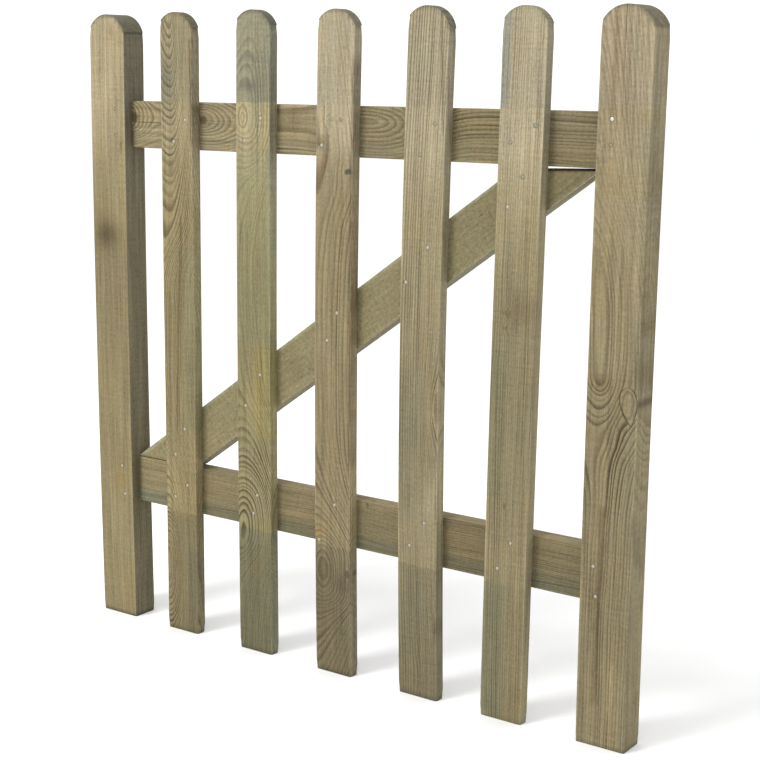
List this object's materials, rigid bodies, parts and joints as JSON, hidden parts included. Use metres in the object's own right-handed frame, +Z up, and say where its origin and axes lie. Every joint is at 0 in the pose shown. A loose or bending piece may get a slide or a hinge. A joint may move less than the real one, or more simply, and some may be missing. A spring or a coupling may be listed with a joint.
{
  "type": "garden gate",
  "caption": "Round-topped picket gate leaf in treated pine: tenoned stiles and rails, pickets nailed to the front and a diagonal brace behind them.",
  "frame": {"origin": "middle of the gate's foot: centred across its width and its depth, on the level that the uprights stand on", "axes": "+X from the hinge stile to the latch stile, -Y the front that the pickets face, +Z up along the uprights"},
  "size_m": [0.99, 0.0464, 1.0039],
  "materials": {
    "stile_pine": "planed pine, pressure treated, dry and matt",
    "picket_pine": "planed pine, pressure treated, dry and matt",
    "rail_pine": "planed pine, pressure treated, dry and matt",
    "brace_pine": "rough-sawn pine, pressure treated, matt",
    "nail_steel": "dull galvanised steel"
  },
  "bodies": {
    "root": {"brace": "brace_pine", "hinge_stile": "stile_pine", "latch_stile": "stile_pine", "lower_rail": "rail_pine", "nail_hinge_stile_lower_rail_a": "nail_steel", "nail_hinge_stile_lower_rail_b": "nail_steel", "nail_hinge_stile_upper_rail_a": "nail_steel", "nail_hinge_stile_upper_rail_b": "nail_steel", "nail_latch_stile_lower_rail_a": "nail_steel", "nail_latch_stile_lower_rail_b": "nail_steel", "nail_latch_stile_upper_rail_a": "nail_steel", "nail_latch_stile_upper_rail_b": "nail_steel", "nail_picket_1_brace_a": "nail_steel", "nail_picket_1_brace_b": "nail_steel", "nail_picket_1_lower_rail_a": "nail_steel", "nail_picket_1_lower_rail_b": "nail_steel", "nail_picket_1_upper_rail_a": "nail_steel", "nail_picket_1_upper_rail_b": "nail_steel", "nail_picket_2_brace_a": "nail_steel", "nail_picket_2_brace_b": "nail_steel", "nail_picket_2_lower_rail_a": "nail_steel", "nail_picket_2_lower_rail_b": "nail_steel", "nail_picket_2_upper_rail_a": "nail_steel", "nail_picket_2_upper_rail_b": "nail_steel", "nail_picket_3_brace_a": "nail_steel", "nail_picket_3_brace_b": "nail_steel", "nail_picket_3_lower_rail_a": "nail_steel", "nail_picket_3_lower_rail_b": "nail_steel", "nail_picket_3_upper_rail_a": "nail_steel", "nail_picket_3_upper_rail_b": "nail_steel", "nail_picket_4_brace_a": "nail_steel", "nail_picket_4_brace_b": "nail_steel", "nail_picket_4_lower_rail_a": "nail_steel", "nail_picket_4_lower_rail_b": "nail_steel", "nail_picket_4_upper_rail_a": "nail_steel", "nail_picket_4_upper_rail_b": "nail_steel", "nail_picket_5_brace_a": "nail_steel", "nail_picket_5_brace_b": "nail_steel", "nail_picket_5_lower_rail_a": "nail_steel", "nail_picket_5_lower_rail_b": "nail_steel", "nail_picket_5_upper_rail_a": "nail_steel", "nail_picket_5_upper_rail_b": "nail_steel", "picket_1": "picket_pine", "picket_2": "picket_pine", "picket_3": "picket_pine", "picket_4": "picket_pine", "picket_5": "picket_pine", "upper_rail": "rail_pine"}
  },
  "joints": []
}
